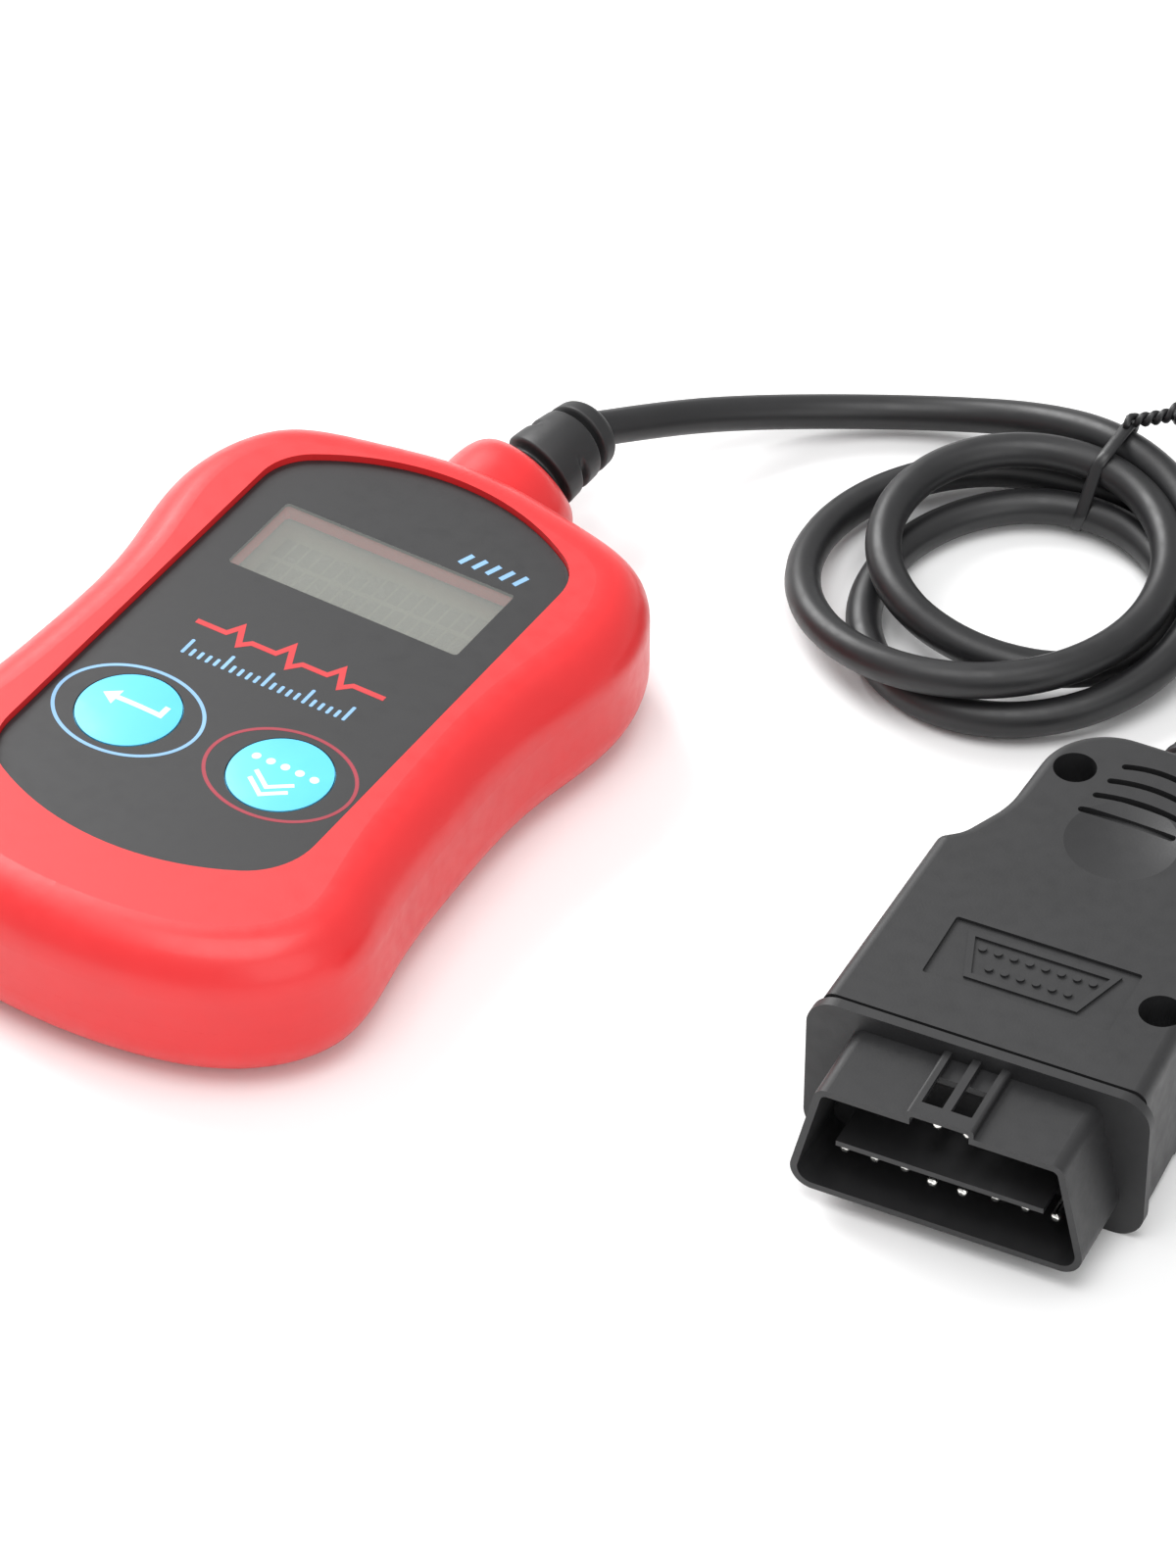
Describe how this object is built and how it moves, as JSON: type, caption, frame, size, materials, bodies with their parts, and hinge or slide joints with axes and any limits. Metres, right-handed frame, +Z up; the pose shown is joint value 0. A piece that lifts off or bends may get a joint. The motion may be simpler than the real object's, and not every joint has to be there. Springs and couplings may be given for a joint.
{
  "type": "obd code reader",
  "caption": "Palm-sized vehicle diagnostic code reader with a small display, two push keys, a tied coil of cable and a car-side diagnostic plug.",
  "frame": {"origin": "on the surface that the handset lies on, below the middle of the handset and its strain relief", "axes": "+Z up out of the keypad, +Y along the handset towards its cable end, +X towards the right key, the side that the plug lies on"},
  "size_m": [0.1712, 0.1724, 0.0226],
  "materials": {
    "red_plastic": "satin-gloss moulded ABS",
    "label_paper": "matt printed label",
    "overlay_film": "fine-textured printed film",
    "window_acrylic": "clear polished acrylic",
    "circuit_board": "green solder mask",
    "black_housing": "black moulded component plastic",
    "backlight_plastic": "diffusing light guide",
    "lcd_glass": "grey-green display glass",
    "steel_sheet": "tinned sheet",
    "capacitor_can": "drawn cans",
    "ceramic": "ceramic chips",
    "socket_nylon": "natural nylon",
    "wire_insulation": "extruded insulation",
    "boot_rubber": "satin moulded PVC",
    "screw_steel": "zinc-plated steel",
    "plug_plastic": "fine-textured moulded ABS",
    "contact_metal": "bright tin plate",
    "cable_jacket": "satin extruded PVC",
    "tie_plastic": "plastic-coated wire",
    "key_plastic": "satin cyan silicone-topped plastic",
    "plunger_plastic": "moulded nylon"
  },
  "bodies": {
    "handset": {"front_cover": "red_plastic", "rear_cover": "red_plastic", "rear_label": "label_paper", "keypad_overlay": "overlay_film", "display_window": "window_acrylic", "main_board": "circuit_board", "lcd_board": "circuit_board", "lcd_pin_header": "black_housing", "lcd_backlight": "backlight_plastic", "lcd_glass": "lcd_glass", "lcd_bezel": "steel_sheet", "microcontroller": "black_housing", "bus_transceiver": "black_housing", "memory_chip": "black_housing", "crystal": "steel_sheet", "voltage_regulator": "black_housing", "capacitors": "capacitor_can", "chip_passives": "ceramic", "cable_socket": "socket_nylon", "cable_socket_plug": "socket_nylon", "handset_wires": "wire_insulation", "handset_cable_end": "cable_jacket", "strain_relief": "boot_rubber", "case_screws": "screw_steel", "board_screws": "screw_steel", "enter_switch_base": "black_housing", "scroll_switch_base": "black_housing", "cord_lead": "cable_jacket", "cord_coil": "cable_jacket", "cord_tail": "cable_jacket", "coil_tie": "tie_plastic", "plug_connector": "plug_plastic", "plug_contacts": "contact_metal", "plug_upper_shell": "plug_plastic", "plug_lower_shell": "plug_plastic", "plug_screws": "screw_steel", "plug_strain_relief": "boot_rubber", "plug_wires": "wire_insulation", "plug_cable_end": "cable_jacket"},
    "enter_button": {"enter_key": "key_plastic", "enter_switch_plunger": "plunger_plastic"},
    "scroll_button": {"scroll_key": "key_plastic", "scroll_switch_plunger": "plunger_plastic"}
  },
  "joints": [
    {"name": "enter_press", "type": "slide", "parent": "handset", "child": "enter_button", "axis": [0, 0, -1], "range_m": [0, 0.0005], "stiffness_N_per_m": 1500, "springref_m": -0.0003},
    {"name": "scroll_press", "type": "slide", "parent": "handset", "child": "scroll_button", "axis": [0, 0, -1], "range_m": [0, 0.0005], "stiffness_N_per_m": 1500, "springref_m": -0.0003}
  ]
}
